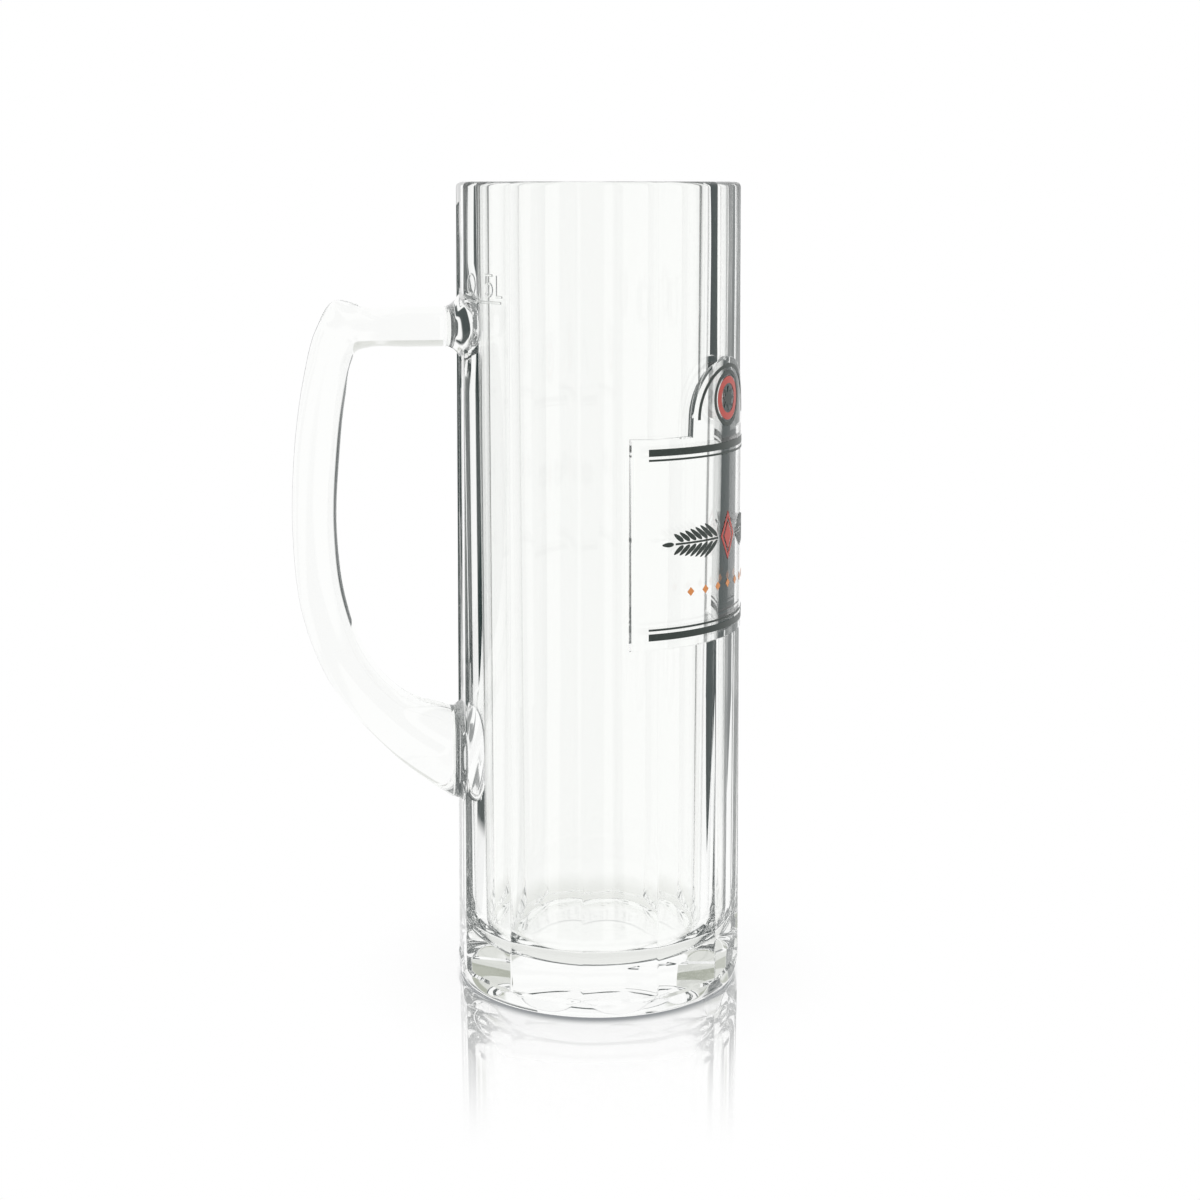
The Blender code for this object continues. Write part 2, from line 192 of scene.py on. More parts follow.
# Looks of glass and enamel; the pairs of colours are the ink and its paler pinholes
WHITE = (1.0, 1.0, 1.0, 1.0)
GLASS_TINT = (0.985, 0.991, 0.981, 1.0)
GLASS_IOR = 1.5
SEAT_IOR = 1.0
HAZE_SCALE = 90.0
HAZE_SPAN = (0.35, 0.75)
HAZE_ROUGHNESS = 0.02
RIPPLE_SCALE = 70.0
RIPPLE_DETAIL = 1.0
RIPPLE_STRETCH = (1.0, 1.0, 0.2)
RIPPLE_DEPTH = 0.0006
VESSEL_RIPPLE = 0.012
HANDLE_RIPPLE = 0.04
MARK_RIPPLE = 0.05
SPECKLE_SCALE = 2600.0
SPECKLE_DETAIL = 3.0
PINHOLE_SPAN = (0.5, 0.8)
GLOSS_SPAN = (0.3, 0.7)
ENAMEL_ROUGHNESS = (0.28, 0.42)
SPECKLE_BUMP = 0.15
SPECKLE_DEPTH = 0.00005
DARK_GREEN = ((0.010, 0.020, 0.015, 1.0), (0.035, 0.055, 0.045, 1.0))
RED = ((0.42, 0.035, 0.022, 1.0), (0.55, 0.08, 0.05, 1.0))
AMBER = ((0.62, 0.22, 0.05, 1.0), (0.72, 0.32, 0.10, 1.0))

# Studio floor: shadow, gloss with a duller lane across it, and a painted contact shadow in front of the
# foot
FLOOR_RADIUS = 0.30
FLOOR_STEPS = 96
FLOOR_DROP = 0.00005
FLOOR_PAPER = (0.98, 0.98, 0.98, 1.0)
FOOT_RADIUS = 0.036
SHADOW_FADE = 0.60
SHADOW_END = 0.070
REFLECTION = 0.72
REFLECTION_END = 0.113
REFLECTION_ROUGHNESS = 0.03
STUDIO_TURN = math.radians(-9.0)
LANE_START = 0.021
LANE_END = 0.031
LANE_SHARE = 0.22
# The contact shadow is painted: a grey emission ring on the floor, shifted to the front of the foot
CONTACT_SHADE = 0.84
CONTACT_SHIFT = 0.0030
CONTACT_START = 0.0330
CONTACT_END = 0.0375
CONTACT_SHADOW_COLOUR = (0.20, 0.215, 0.23, 1.0)

# Painted shade round the foot, as the glass sees it
FOOT_SHADE = 0.20
FOOT_SHADE_START = 0.024
FOOT_SHADE_FULL = 0.031
FOOT_SHADE_FADE = 0.033
FOOT_SHADE_END = 0.060
UNDER_SHADE = 0.20
UNDER_SHADE_FADE = 0.033
UNDER_SHADE_END = 0.038

# Dark and dim surroundings, as the glass sees them; sectors in degrees, 0 towards -Y and 90 towards +X
BOUNCES = 32
DEPTH_MARGIN = 0.5
SECOND_WALL = 3
TRAPPED_BOUNCES = 4
ROOM = (0.020, 0.035, 0.034, 1.0)
ROOM_START = 0.045
ROOM_END = 0.060
ROOM_TOP = 0.15
ROOM_FADE = 0.25
SECTOR_EDGE = 1.5
DARK_TO_SINGLE = ((2, 13), (210, 218), (255, 268))
DARK_TO_THROUGH = ((2, 14), (76, 90), (300, 316))
DARK_TO_THROWN = ((2, 14), (182, 196), (280, 304), (325, 349))
DARK_BEHIND = ((226, 250),)
BEHIND_START = 0.136
BEHIND_FULL = 0.158
BEHIND_SHARE = 0.10
BLADE = (102.0, 148.0)
BLADE_TIP = 0.12
BLADE_BACK = 0.29
BLADE_FAR_TURN = 5.0
DARK_TO_BOTH = 0.75
DARK_TO_TRAPPED = 0.95
STRIP = (180.0, 185.25)
STRIP_SLANT = 0.40
STRIP_EDGE = 0.03
DIM = ((3, 15), (76, 88), (128, 142), (203, 217), (226, 240), (300, 314))
DIM_COLOUR = (0.100, 0.130, 0.030, 1.0)
DIM_SHADE = 0.32
DIM_START = 0.24
DIM_FULL = 0.28
CEILING_SHADE = 0.27
CEILING_START = 0.265
CEILING_FULL = 0.312
STRIPE_SHADE = 0.66
STRIPE_LOW = 0.35
STRIPE_HIGH = 0.41
STRIPE_EDGE = 0.01

# Measures that follow from these
PANEL_ANGLE = 2 * math.pi / PANELS
HANDLE_AZIMUTH = math.pi
FLOOR_LINE = FLOOR_THICKNESS + FLOOR_FILLET
FIELD_TOP = FIELD_BOTTOM + FIELD_HEIGHT
FIELD_MIDDLE = FIELD_BOTTOM + FIELD_HEIGHT / 2
ARCH_HEIGHT = FIELD_TOP + ARCH_RISE
ARM_HEIGHT = HEIGHT - RIM_TO_ARM
FILL_HEIGHT = HEIGHT - RIM_TO_FILL

RayKinds = collections.namedtuple("RayKinds", "single thrown through both")


def corner_radius(z):
    """Radius across the panel corners."""
    return FOOT_CORNER_RADIUS + (RIM_CORNER_RADIUS - FOOT_CORNER_RADIUS) * z / HEIGHT


def apothem(z):
    """Distance from the axis to the middle of a panel."""
    return corner_radius(z) * math.cos(PANEL_ANGLE / 2)


def panel_radius(azimuth, z):
    """Distance from the axis to the panelled outside; a panel faces the handle."""
    turn = (azimuth - HANDLE_AZIMUTH + PANEL_ANGLE / 2) % PANEL_ANGLE - PANEL_ANGLE / 2
    return apothem(z) / math.cos(turn)


def heel_radius(z):
    """Turned rounding of the foot that trims the panel corners into scallops."""
    drop = 1 - min(z, HEEL_HEIGHT) / HEEL_HEIGHT
    return corner_radius(z) - HEEL_INSET * (1 - math.sqrt(1 - drop * drop))


def bore_radius(z):
    """Drafted round inside, above the floor fillet."""
    lowest = apothem(FLOOR_LINE) - FLOOR_WALL
    highest = apothem(HEIGHT) - RIM_WALL
    return lowest + (highest - lowest) * (z - FLOOR_LINE) / (HEIGHT - FLOOR_LINE)


def new_object(name, bm, smooth=True):
    """Named object from a bmesh, with outward faces."""
    bmesh.ops.recalc_face_normals(bm, faces=bm.faces)
    mesh = bpy.data.meshes.new(name)
    bm.to_mesh(mesh)
    bm.free()
    piece = bpy.data.objects.new(name, mesh)
    bpy.context.collection.objects.link(piece)
    if smooth:
        soften(mesh)
    return piece


def soften(mesh):
    """Smooth shading with sharp edges kept."""
    mesh.shade_smooth()
    mesh.set_sharp_from_angle(angle=SHARP_ANGLE)


def loft(rings, closed=False, bm=None):
    """Closed skin over rings of equal size; the ends are capped unless the rings form a loop."""
    bm = bm or bmesh.new()
    loops = [[bm.verts.new(point) for point in ring] for ring in rings]
    size = len(loops[0])
    pairs = list(zip(loops, loops[1:]))
    if closed:
        pairs.append((loops[-1], loops[0]))
    for lower, upper in pairs:
        for i in range(size):
            j = (i + 1) % size
            bm.faces.new((lower[i], lower[j], upper[j], upper[i]))
    if not closed:
        bm.faces.new(loops[0])
        bm.faces.new(loops[-1])
    return bm


def stand_for(piece, node, material):
    """The piece takes the node's place on the only body."""
    piece.data.materials.clear()
    piece.data.materials.append(material)
    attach(piece, "root")
    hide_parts(node)
    return piece


def clear_seats(piece, material):
    """Give the flat faces between the handle and its bosses their own material."""
    seats = (apothem(ARM_HEIGHT) + ARM_BOSS_LENGTH, apothem(ROOT_HEIGHT) + ROOT_BOSS_LENGTH)
    piece.data.materials.append(material)
    for face in piece.data.polygons:
        upright = abs(face.normal.x) > UPRIGHT
        if upright and any(abs(face.center.x + seat) < 2 * CAD_SEAT_GAP for seat in seats):
            face.material_index = 1


def ring_at(radius_of, z):
    """Level ring round the axis; radius_of gives its radius at an azimuth."""
    turn = [2 * math.pi * i / AROUND for i in range(AROUND)]
    return [(radius_of(a) * math.cos(a), radius_of(a) * math.sin(a), z) for a in turn]


def underside_rings():
    """Hollowed underside from its middle out to the flat ring that it stands on."""
    edge = heel_radius(0.0) - UNDERSIDE_RING
    rings = []
    for i in range(1, DISH_ROWS + 1):
        share = i / DISH_ROWS
        rings.append(ring_at(lambda a, r=edge * share: r, UNDERSIDE_RISE * (1 - share ** 2) ** 2))
    return rings


def outside(azimuth, z):
    """Panels down to a low round bead at the foot, which stands a little proud of them."""
    plain = min(panel_radius(azimuth, z), heel_radius(z))
    proud = BEAD_STEP * min(1.0, max(0.0, (BEAD_HEIGHT - z) / BEAD_RAMP))
    return min(plain + proud, heel_radius(z))


def outer_rings():
    """The outside from the ground up to the lip; rows crowd towards the ground."""
    crease = BEAD_HEIGHT - BEAD_RAMP
    heights = [crease * (i / HEEL_ROWS) ** HEEL_CROWDING for i in range(HEEL_ROWS)]
    for low, high, rows in ((crease, BEAD_HEIGHT, BEAD_ROWS), (BEAD_HEIGHT, HEEL_HEIGHT, BEAD_ROWS),
                            (HEEL_HEIGHT, HEIGHT - LIP_HEIGHT, WALL_ROWS)):
        heights += [low + (high - low) * i / rows for i in range(rows)]
    heights.append(HEIGHT - LIP_HEIGHT)
    return [ring_at(lambda a, z=z: outside(a, z), z) for z in heights]


def lip_rings():
    """Fire-polished edge from the outside over to the bore."""
    rings = []
    inside = bore_radius(HEIGHT - LIP_HEIGHT)
    for i in range(1, LIP_ROWS):
        angle = math.pi * i / LIP_ROWS
        z = HEIGHT - LIP_HEIGHT * (1 - math.sin(angle))

        def radius(a, z=z, angle=angle):
            outer = panel_radius(a, z)
            return (outer + inside) / 2 + (outer - inside) / 2 * math.cos(angle)

        rings.append(ring_at(radius, z))
    return rings


def bore_rings():
    """The inside, from the lip down the wall and round the fillet to the flat floor."""
    rings = []
    top = HEIGHT - LIP_HEIGHT
    for i in range(BORE_ROWS):
        z = top + (FLOOR_LINE - top) * i / BORE_ROWS
        rings.append(ring_at(lambda a, z=z: bore_radius(z), z))
    for i in range(FILLET_ROWS + 1):
        angle = math.pi / 2 * i / FILLET_ROWS
        z = FLOOR_LINE - FLOOR_FILLET * math.sin(angle)
        radius = bore_radius(FLOOR_LINE) - FLOOR_FILLET * (1 - math.cos(angle))
        rings.append(ring_at(lambda a, radius=radius: radius, z))
    return rings


def section(width, depth):
    """Rounded handle section: (sideways, along the depth) pairs."""
    points = []
    power = 2 / SECTION_POWER
    for i in range(SECTION_POINTS):
        angle = 2 * math.pi * i / SECTION_POINTS
        across, along = math.cos(angle), math.sin(angle)
        points.append((width / 2 * math.copysign(abs(across) ** power, across),
                       depth / 2 * math.copysign(abs(along) ** power, along)))
    return points


def wall_face(side, z):
    """How far out the panels stand at a sideways distance from the handle's middle plane."""
    half_panel = corner_radius(z) * math.sin(PANEL_ANGLE / 2)
    return apothem(z) - max(0.0, abs(side) - half_panel) * math.tan(PANEL_ANGLE)


def boss(name, height, length, depth, side_flare, end_flare):
    """Flared pad on the wall, narrowing in a hollow curve to the handle's end section."""
    shares = [-BOSS_SEAT / length] + [(i - 0.5) / (BOSS_ROWS - 0.5) for i in range(1, BOSS_ROWS + 1)]
    length += CAD_SEAT_GAP - SEAT_GAP
    rings = []
    for share in shares:
        spread = (1 - share) ** 2
        ring = []
        width = HANDLE_WIDTH + 2 * side_flare * spread
        for side, up in section(width, depth + 2 * end_flare * spread):
            foot = wall_face(side, height + up)
            out = foot + (apothem(height) + length - foot) * share
            ring.append((-out, side, height + up))
        rings.append(ring)
    return new_object(name, loft(rings), smooth=False)


def field_radius(z):
    """Distance from the axis to the face of the label field."""
    return corner_radius(z) + FIELD_RELIEF


def wrap(along, z, lift):
    """Point on the label field: arc length from its middle, height and lift off the field."""
    azimuth = FIELD_AZIMUTH + along / field_radius(FIELD_MIDDLE)
    radius = field_radius(z) + lift
    return (radius * math.cos(azimuth), radius * math.sin(azimuth), z)


def columns(start, end):
    """Arc lengths from start to end, close enough to follow the round field."""
    count = max(2, math.ceil(abs(end - start) / FIELD_STEP) + 1)
    return [start + (end - start) * i / (count - 1) for i in range(count)]


def field_outline(inset):
    """Rectangle with a round arch standing on its middle; rows are (arc length, lower, upper)."""
    low, high = FIELD_BOTTOM + inset, FIELD_TOP - inset
    arch = ARCH_RADIUS - inset
    left = columns(-FIELD_WIDTH / 2 + inset, -arch - ARCH_FOOT_DRAFT)
    outline = [(along, low, high) for along in left]
    for i in range(ARCH_STEPS + 1):
        angle = math.pi * (1 - i / ARCH_STEPS)
        outline.append((arch * math.cos(angle), low, ARCH_HEIGHT + arch * math.sin(angle)))
    outline += [(-along, low, high) for along in reversed(left)]
    return outline


def make_field():
    """Raised label field with softened edges."""
    depth = field_radius(FIELD_MIDDLE) - apothem(FIELD_MIDDLE) + FIELD_SEAT
    body = field_outline(0.0)
    face = field_outline(FIELD_EDGE)
    rings = []
    for (along, low, high), (inner, face_low, face_high) in zip(body, face):
        rings.append([wrap(along, low, -depth), wrap(along, low, -FIELD_EDGE), wrap(inner, face_low, 0.0),
                      wrap(inner, face_high, 0.0), wrap(along, high, -FIELD_EDGE),
                      wrap(along, high, -depth)])
    return new_object("field", loft(rings), smooth=False)


def drop_fins(mesh):
    """Weld the mesh and delete the flat slivers that a union leaves hanging on one edge."""
    bm = bmesh.new()
    bm.from_mesh(mesh)
    bmesh.ops.remove_doubles(bm, verts=bm.verts, dist=WELD)
    fins = [face for face in bm.faces if any(len(edge.link_faces) == 1 for edge in face.edges)]
    bmesh.ops.delete(bm, geom=fins, context="FACES")
    bm.to_mesh(mesh)
    bm.free()


def fuse(target, helpers):
    """Unite the helper solids with the target and leave one plain mesh."""
    for helper in helpers:
        union = target.modifiers.new("fuse_" + helper.name, "BOOLEAN")
        union.operation = "UNION"
        union.solver = "EXACT"
        union.object = helper
    graph = bpy.context.evaluated_depsgraph_get()
    mesh = bpy.data.meshes.new_from_object(target.evaluated_get(graph))
    target.modifiers.clear()
    target.data = mesh
    for helper in helpers:
        bpy.data.objects.remove(helper)
    drop_fins(mesh)
    soften(mesh)


def make_vessel(material):
    """Glass body with the two bosses and the label field grown on."""
    rings = underside_rings() + outer_rings() + lip_rings() + bore_rings()
    vessel = new_object("glass_vessel", loft(rings), smooth=False)
    fuse(vessel, (
        boss("arm_boss", ARM_HEIGHT, ARM_BOSS_LENGTH, ARM_DEPTH, ARM_BOSS_SIDE_FLARE, ARM_BOSS_END_FLARE),
        boss("root_boss", ROOT_HEIGHT, ROOT_BOSS_LENGTH, ROOT_DEPTH,
             ROOT_BOSS_SIDE_FLARE, ROOT_BOSS_END_FLARE),
        make_field(),
    ))
    return stand_for(vessel, "vessel", material)


def handle_path():
    """Stations along the handle: share of the reach, share of the drop, section tilt, depth."""
    return np.array([
        (0.000, 0.000, 90, ARM_DEPTH),
        (0.300, 0.000, 90, ARM_DEPTH),
        (0.575, 0.000, 85, ARM_DEPTH),
        (0.738, -0.002, 69, HUMP_DEPTH),
        (0.826, 0.042, 49, SHOULDER_DEPTH),
        (0.898, 0.131, 27, GRIP_DEPTH),
        (0.971, 0.291, 5, GRIP_DEPTH),
        (1.000, 0.471, -10, GRIP_DEPTH),
        (0.942, 0.642, -25, SHOULDER_DEPTH),
        (0.780, 0.785, -39, SHOULDER_DEPTH),
        (0.414, 0.918, -62, LOWER_ARM_DEPTH),
        (0.000, 1.000, -90, ROOT_DEPTH),
    ])


def smooth_rows(rows, count):
    """Cubic curve through rows of values, read at equal steps of travelled length."""
    places = rows[:, :2] * (HANDLE_REACH, ARM_HEIGHT - ROOT_HEIGHT)
    travel = np.concatenate(([0.0], np.cumsum(np.linalg.norm(np.diff(places, axis=0), axis=1))))
    slopes = np.gradient(rows, travel, axis=0)
    result = []
    for t in np.linspace(0.0, travel[-1], count):
        i = min(np.searchsorted(travel, t, side="right") - 1, len(travel) - 2)
        span = travel[i + 1] - travel[i]
        u = (t - travel[i]) / span
        start, end = 2 * u**3 - 3 * u**2 + 1, -2 * u**3 + 3 * u**2
        leave, arrive = u**3 - 2 * u**2 + u, u**3 - u**2
        result.append(start * rows[i] + end * rows[i + 1]
                      + span * (leave * slopes[i] + arrive * slopes[i + 1]))
    return result


def make_handle(material):
    """Side handle swept from the arm's seat to the root's."""
    arm_seat = apothem(ARM_HEIGHT) + ARM_BOSS_LENGTH + CAD_SEAT_GAP
    root_seat = apothem(ROOT_HEIGHT) + ROOT_BOSS_LENGTH + CAD_SEAT_GAP
    rings = []
    for k, (reach, drop, tilt, depth) in enumerate(smooth_rows(handle_path(), HANDLE_STATIONS)):
        along = k / (HANDLE_STATIONS - 1)
        out = (1 - along) * arm_seat + along * root_seat + HANDLE_REACH * reach
        z = ARM_HEIGHT + (ROOT_HEIGHT - ARM_HEIGHT) * drop
        angle = math.radians(tilt)
        rings.append([(-(out + up * math.cos(angle)), side, z + up * math.sin(angle))
                      for side, up in section(HANDLE_WIDTH, depth)])
    handle = new_object("glass_handle", loft(rings))
    return stand_for(handle, "handle", material)


def film(bm, outline):
    """Thin closed strip on the field; outline rows are (arc length, lower, upper)."""
    top = PRINT_GAP + PRINT_THICKNESS
    rings = [[wrap(along, low, PRINT_GAP), wrap(along, low, top), wrap(along, high, top),
              wrap(along, high, PRINT_GAP)] for along, low, high in outline]
    return loft(rings, bm=bm)


def blot(bm, middle, outline):
    """Thin closed patch on the field, fanned out from its middle; points are (arc length, height)."""
    layers = []
    for lift in (PRINT_GAP, PRINT_GAP + PRINT_THICKNESS):
        hub = bm.verts.new(wrap(*middle, lift))
        layers.append((hub, [bm.verts.new(wrap(*point, lift)) for point in outline]))
    (under_hub, under), (over_hub, over) = layers
    for i in range(len(outline)):
        j = (i + 1) % len(outline)
        bm.faces.new((under[i], under[j], over[j], over[i]))
        bm.faces.new((under_hub, under[j], under[i]))
        bm.faces.new((over_hub, over[i], over[j]))


def band(bm, outer, inner, closed=True):
    """Thin closed band on the field between two outlines of equal size."""
    top = PRINT_GAP + PRINT_THICKNESS
    rings = [[wrap(*far, PRINT_GAP), wrap(*far, top), wrap(*near, top), wrap(*near, PRINT_GAP)]
             for far, near in zip(outer, inner)]
    return loft(rings, closed=closed, bm=bm)


def printed(node, bm, material):
    """Print field in the place of its node."""
    return stand_for(new_object("print_" + node, bm), node, material)


def make_rules(material):
    """A wide and a fine rule along the upper and the lower edge."""
    half = FIELD_WIDTH / 2 - PRINT_MARGIN
    run = columns(-half, half)
    wide_top = FIELD_TOP - RULE_INSET
    fine_top = wide_top - WIDE_RULE - RULE_GAP
    wide_bottom = FIELD_BOTTOM + RULE_INSET
    fine_bottom = wide_bottom + WIDE_RULE + RULE_GAP
    bands = (
        ("upper_wide_rule", wide_top - WIDE_RULE, wide_top),
        ("upper_fine_rule", fine_top - FINE_RULE, fine_top),
        ("lower_fine_rule", fine_bottom, fine_bottom + FINE_RULE),
        ("lower_wide_rule", wide_bottom, wide_bottom + WIDE_RULE),
    )
    for node, low, high in bands:
        bm = film(bmesh.new(), [(along, low, high) for along in run])
        printed(node, bm, material)


def arc(z, radius, sweep, steps):
    """Points round the field's middle line, from its right side."""
    angles = [sweep * i / steps for i in range(steps + 1)]
    return [(radius * math.cos(a), z + radius * math.sin(a)) for a in angles]


def make_medallion(dark, red):
    """Star in a red band and a fine ring, under the rule that follows the arch."""
    arch = ARCH_RADIUS - ARCH_RULE_INSET
    bow = [arc(ARCH_HEIGHT, r, math.pi, RING_STEPS // 2) for r in (arch, arch - ARCH_RULE)]
    printed("arch_rule", band(bmesh.new(), *bow, closed=False), dark)
    z = ARCH_HEIGHT + arch - ARCH_RULE - RULE_GAP - MEDALLION_RADIUS

    def ring(radius, width):
        outlines = [arc(z, r, 2 * math.pi, RING_STEPS)[:-1] for r in (radius, radius - width)]
        return band(bmesh.new(), *outlines)

    printed("medallion_ring", ring(MEDALLION_RADIUS, MEDALLION_RING), dark)
    edge = MEDALLION_RADIUS - MEDALLION_RING - MEDALLION_GAP
    printed("medallion_band", ring(edge, edge - STAR_RADIUS - MEDALLION_GAP), red)
    star = []
    for i in range(2 * STAR_POINTS):
        angle = math.pi * i / STAR_POINTS
        reach = STAR_RADIUS * (STAR_WAIST if i % 2 else 1.0)
        star.append((reach * math.cos(angle), z + reach * math.sin(angle)))
    bm = bmesh.new()
    blot(bm, (0.0, z), star)
    printed("medallion_star", bm, dark)


def grain(bm, root, tilt, length, width):
    """Pointed seed lying on the field from its root in the direction of its tilt."""
    outline = []
    for i in range(GRAIN_STEPS):
        angle = 2 * math.pi * i / GRAIN_STEPS
        forward = length / 2 * (1 + math.cos(angle))
        aside = width / 2 * math.sin(angle) * (GRAIN_FULLNESS - GRAIN_TAPER * math.cos(angle))
        outline.append((root[0] + forward * math.cos(tilt) - aside * math.sin(tilt),
                        root[1] + forward * math.sin(tilt) + aside * math.cos(tilt)))
    middle = (root[0] + length / 2 * math.cos(tilt), root[1] + length / 2 * math.sin(tilt))
    blot(bm, middle, outline)


def make_ears(material):
    """Two ears of grain lying out from the middle: a stem, pairs of grains and one at the tip."""
    pitch = EAR_LENGTH / (EAR_PAIRS + 2)
    for node, side in (("left_ear", -1), ("right_ear", 1)):
        bm = bmesh.new()
        stem_end = EAR_GAP + pitch * (EAR_PAIRS + STEM_OVERHANG)
        stem = [(side * along, FIELD_MIDDLE - STEM_WIDTH / 2, FIELD_MIDDLE + STEM_WIDTH / 2)
                for along in columns(EAR_GAP, stem_end)]
        film(bm, stem)
        for k in range(EAR_PAIRS):
            share = k / (EAR_PAIRS - 1)
            length = GRAIN_LENGTH * (1 - GRAIN_SHRINK * share)
            for up in (-1, 1):
                root = (side * (EAR_GAP + pitch * (k + GRAIN_SHIFT)), FIELD_MIDDLE + up * STEM_WIDTH)
                tilt = GRAIN_TILT if side > 0 else math.pi - GRAIN_TILT
                grain(bm, root, up * tilt, length, GRAIN_WIDTH)
        tip = (side * (stem_end + STEM_WIDTH), FIELD_MIDDLE)
        grain(bm, tip, 0.0 if side > 0 else math.pi, pitch * TIP_GRAIN, GRAIN_WIDTH)
        printed(node, bm, material)


def diamond(along, z, width, height):
    """Outline of a diamond in short steps that follow the round field."""
    corners = ((1, 0), (0, 1), (-1, 0), (0, -1))
    points = []
    for (x0, y0), (x1, y1) in zip(corners, corners[1:] + corners[:1]):
        for i in range(DIAMOND_STEPS):
            share = i / DIAMOND_STEPS
            points.append((along + (x0 + (x1 - x0) * share) * width / 2,
                           z + (y0 + (y1 - y0) * share) * height / 2))
    return points


def make_lozenge(material):
    """Red diamond: an outline with a smaller filled diamond inside."""
    bm = bmesh.new()

    def at(share):
        return diamond(0.0, FIELD_MIDDLE, LOZENGE_WIDTH * share, LOZENGE_HEIGHT * share)

    band(bm, at(1.0), at(1.0 - LOZENGE_LINE))
    blot(bm, (0.0, FIELD_MIDDLE), at(1.0 - 2 * LOZENGE_LINE))
    printed("centre_lozenge", bm, material)


def make_beads(material):
    """Row of small amber diamonds under the ears."""
    z = FIELD_MIDDLE - BEAD_DROP
    for i in range(BEAD_COUNT):
        along = (i - (BEAD_COUNT - 1) / 2) * BEAD_PITCH
        bm = bmesh.new()
        blot(bm, (along, z), diamond(along, z, BEAD_SIZE, BEAD_SIZE))
        printed(f"bead_{i + 1}", bm, material)


def on_mark_panel(side, z, lift):
    """Point on the flat panel that carries the fill mark, seen from outside."""
    azimuth = HANDLE_AZIMUTH + PANEL_ANGLE
    out = apothem(z) + lift
    return (out * math.cos(azimuth) - side * math.sin(azimuth),
            out * math.sin(azimuth) + side * math.cos(azimuth), z)


def stroke(node, path, width, material, closed=False):
    """Rounded rib of even width on the mark panel, mitred at its bends."""
    path = np.array(path)
    count = len(path)
    bow = [math.pi * i / RIB_STEPS for i in range(RIB_STEPS + 1)]
    profile = [(math.cos(a), math.sin(a)) for a in bow]
    rings = []
    for i in range(count):
        before = path[i - 1] if i or closed else path[i] - (path[1] - path[0])
        after = path[(i + 1) % count] if i < count - 1 or closed else path[i] + (path[i] - path[i - 1])
        arrive = (path[i] - before) / np.linalg.norm(path[i] - before)
        leave = (after - path[i]) / np.linalg.norm(after - path[i])
        normal = np.array([-arrive[1] - leave[1], arrive[0] + leave[0]])
        normal /= np.linalg.norm(normal)
        reach = normal * width / 2 / max(MITRE_LIMIT, normal @ np.array([-arrive[1], arrive[0]]))
        rings.append([on_mark_panel(*(path[i] + reach * across), MARK_GAP + MARK_RELIEF * rise)
                      for across, rise in profile])
    rib = new_object("mark_" + node, loft(rings, closed=closed))
    return stand_for(rib, node, material)


def make_fill_mark(material):
    """Capacity line with the half-litre figures above it."""
    half = FILL_LINE_LENGTH / 2
    stroke("fill_line", [(-half, FILL_HEIGHT), (half, FILL_HEIGHT)], FILL_LINE_WIDTH, material)
    wide, tall = FIGURE_WIDTH / 2, FIGURE_HEIGHT / 2
    pitch = FIGURE_WIDTH + FIGURE_GAP
    base = FILL_HEIGHT + FIGURE_LIFT
    turn = [2 * math.pi * i / ZERO_STEPS for i in range(ZERO_STEPS)]
    zero = [(math.cos(a), 1 + math.sin(a)) for a in turn]
    bend = [math.radians(angle) for angle in FIVE_BEND]
    five = [*FIVE_TOP, *((math.cos(a), FIVE_BOWL * (1 + math.sin(a))) for a in bend)]
    nodes = ("figure_zero", "figure_comma", "figure_five", "letter_l")
    for node, place, path in zip(nodes, FIGURE_PLACES, (zero, COMMA, five, ELL)):
        moved = [(wide * side + place * pitch, base + tall * up) for side, up in path]
        stroke(node, moved, FIGURE_STROKE, material, closed=node == "figure_zero")


def new_material(name):
    """Empty node material: its tree and its output."""
    material = bpy.data.materials.new(name)
    material.use_nodes = True
    tree = material.node_tree
    tree.nodes.clear()
    return material, tree, tree.nodes.new("ShaderNodeOutputMaterial")


def new_surface(name):
    """Node material with one Principled shader: its tree and the shader."""
    material, tree, output = new_material(name)
    shader = tree.nodes.new("ShaderNodeBsdfPrincipled")
    tree.links.new(shader.outputs["BSDF"], output.inputs["Surface"])
    return material, tree, shader


def calculate(tree, operation, *values):
    """Math node on sockets or plain numbers."""
    node = tree.nodes.new("ShaderNodeMath")
    node.operation = operation
    for socket, value in zip(node.inputs, values):
        if isinstance(value, (int, float)):
            socket.default_value = value
        else:
            tree.links.new(value, socket)
    return node.outputs["Value"]


def multiply(tree, first, second):
    """Product of two sockets or numbers."""
    return calculate(tree, "MULTIPLY", first, second)


def larger(tree, first, second):
    """The larger of two sockets or numbers."""
    return calculate(tree, "MAXIMUM", first, second)


def measure(tree, operation, vector, other=(0.0, 0.0, 0.0)):
    """Number that a vector operation gives for a socket and a constant vector."""
    node = tree.nodes.new("ShaderNodeVectorMath")
    node.operation = operation
    node.inputs[1].default_value = other
    tree.links.new(vector, node.inputs[0])
    return node.outputs["Value"]


def remap(tree, value, low, high, to_low, to_high):
    """Smooth step of a socket between two limits."""
    node = tree.nodes.new("ShaderNodeMapRange")
    node.interpolation_type = "SMOOTHSTEP"
    for socket, number in (("From Min", low), ("From Max", high), ("To Min", to_low), ("To Max", to_high)):
        node.inputs[socket].default_value = number
    tree.links.new(value, node.inputs["Value"])
    return node.outputs["Result"]


def mix_colour(tree, factor, first, second):
    """Colour between two, each a socket or a plain colour."""
    node = tree.nodes.new("ShaderNodeMix")
    node.data_type = "RGBA"
    for socket, colour in (("A", first), ("B", second)):
        if isinstance(colour, tuple):
            node.inputs[socket].default_value = colour
        else:
            tree.links.new(colour, node.inputs[socket])
    tree.links.new(factor, node.inputs["Factor"])
    return node.outputs["Result"]


